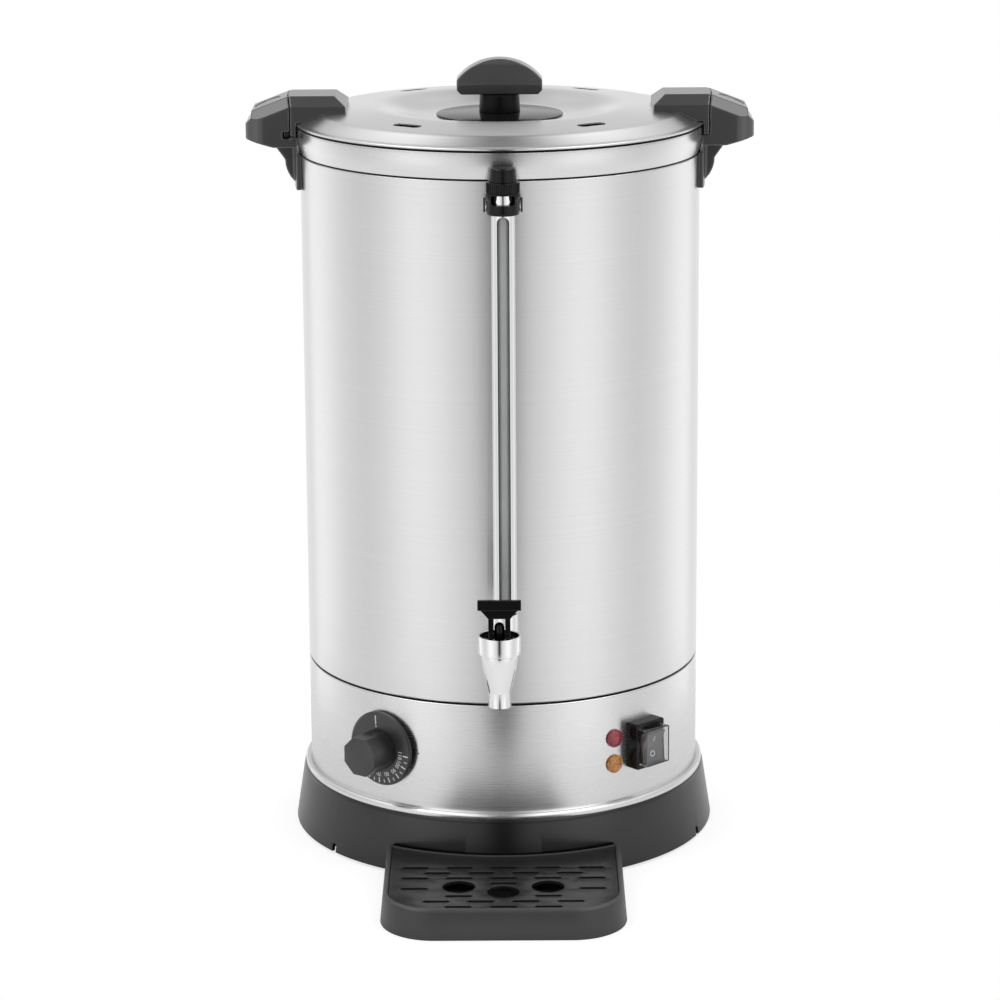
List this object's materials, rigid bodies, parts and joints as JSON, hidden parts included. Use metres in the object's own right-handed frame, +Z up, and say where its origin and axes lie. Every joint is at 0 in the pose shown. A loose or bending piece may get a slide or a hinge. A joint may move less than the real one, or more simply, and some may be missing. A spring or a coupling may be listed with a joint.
{
  "type": "hot water urn",
  "caption": "Cylindrical steel hot water urn with a bayonet lid, side handles, sight gauge, self-closing tap, thermostat dial, covered rocker switch and drip tray.",
  "frame": {"origin": "on the body axis, on the plane that the urn stands on", "axes": "+Z up along the body axis, the tap faces -Y, +X to the right seen from the front"},
  "size_m": [0.3992, 0.4626, 0.6253],
  "materials": {
    "tank_steel": "satin",
    "casing_steel": "fine vertical brushing, satin",
    "band_steel": "brushed around, satin",
    "lid_steel": "brushed, satin",
    "trim_steel": "polished",
    "plate_steel": "mill",
    "screw_steel": "bright",
    "chrome": "polished",
    "dark_plastic": "satin moulded",
    "black_plastic": "semi-gloss",
    "rubber": "matt",
    "seal_silicone": "matt",
    "glass": "clear",
    "clear_cover": "clear, flexible",
    "red_lens": "glossy",
    "amber_lens": "glossy",
    "pale_plastic": "matt",
    "copper": "drawn",
    "element_steel": "oxidised",
    "aluminium_plate": "cast",
    "spring_steel": "bright"
  },
  "bodies": {
    "urn": {"inner_tank": "tank_steel", "outer_casing": "casing_steel", "rim_band": "band_steel", "band_gasket": "seal_silicone", "seam_ring": "seal_silicone", "control_band": "band_steel", "base_trim": "trim_steel", "base_skirt": "dark_plastic", "bottom_plate": "plate_steel", "base_feet": "rubber", "base_screws": "screw_steel", "handle_left": "dark_plastic", "handle_right": "dark_plastic", "handle_screws": "screw_steel", "tap_body": "chrome", "tap_washers": "seal_silicone", "tap_locknut": "screw_steel", "tap_bonnet": "chrome", "tap_spring": "spring_steel", "gauge_gland_nut": "chrome", "gauge_seal": "seal_silicone", "gauge_tube": "glass", "gauge_guard": "chrome", "gauge_collar": "black_plastic", "gauge_bracket": "trim_steel", "gauge_knurled_nut": "black_plastic", "gauge_cap": "black_plastic", "switch_frame": "black_plastic", "switch_cover": "clear_cover", "switch_body": "black_plastic", "red_lamp_lens": "red_lens", "amber_lamp_lens": "amber_lens", "lamp_holders": "pale_plastic", "thermostat_body": "plate_steel", "thermostat_screws": "screw_steel", "thermostat_sensor": "copper", "heater_plate": "aluminium_plate", "heater_element": "element_steel", "heater_clamp": "plate_steel", "dry_boil_cutout": "pale_plastic", "terminal_block": "pale_plastic", "cord_gland": "black_plastic"},
    "seal_ring": {"lid_seal": "seal_silicone"},
    "lid": {"lid_shell": "lid_steel", "lid_disc": "black_plastic", "lid_knob": "black_plastic", "lid_screws": "screw_steel", "lid_ear_left": "dark_plastic", "lid_ear_right": "dark_plastic"},
    "dial": {"dial_knob": "black_plastic", "dial_spindle": "plate_steel"},
    "rocker": {"rocker": "black_plastic"},
    "tap_stem": {"tap_stem": "black_plastic", "seat_plug": "seal_silicone"},
    "tap_lever": {"tap_lever": "black_plastic", "lever_pin": "screw_steel"},
    "tray": {"drip_tray": "dark_plastic"},
    "grid": {"drip_grid": "dark_plastic"}
  },
  "joints": [
    {"name": "lid_turn", "type": "hinge", "parent": "urn", "child": "seal_ring", "pos_m": [0, 0, 0.5749], "axis": [0, 0, 1], "range_deg": [0, 20]},
    {"name": "lid_lift", "type": "slide", "parent": "seal_ring", "child": "lid", "axis": [0, 0, 1], "range_m": [0, 0.15]},
    {"name": "dial_turn", "type": "hinge", "parent": "urn", "child": "dial", "pos_m": [-0.09398, -0.12701, 0.098], "axis": [-0.5948, -0.8039, 0], "range_deg": [0, 270]},
    {"name": "rocker_tilt", "type": "hinge", "parent": "urn", "child": "rocker", "pos_m": [0.11241, -0.11804, 0.098], "axis": [-0.7242, -0.6896, 0], "range_deg": [0, 16]},
    {"name": "tap_stem_lift", "type": "slide", "parent": "urn", "child": "tap_stem", "axis": [0, 0, 1], "range_m": [0, 0.00235], "stiffness_N_per_m": 1500, "springref_m": -0.002, "deforming": ["tap_spring"]},
    {"name": "tap_lever_tilt", "type": "hinge", "parent": "tap_stem", "child": "tap_lever", "pos_m": [-0.002, -0.212, 0.21], "axis": [1, 0, 0], "range_deg": [0, 30]},
    {"name": "tray_slide", "type": "slide", "parent": "urn", "child": "tray", "axis": [0, -1, 0], "range_m": [0, 0.12]},
    {"name": "grid_lift", "type": "slide", "parent": "tray", "child": "grid", "axis": [0, 0, 1], "range_m": [0, 0.04]}
  ],
  "couplings": [
    {"joint": "tap_lever_tilt", "follows": "tap_stem_lift", "rad_per_m": 222}
  ]
}
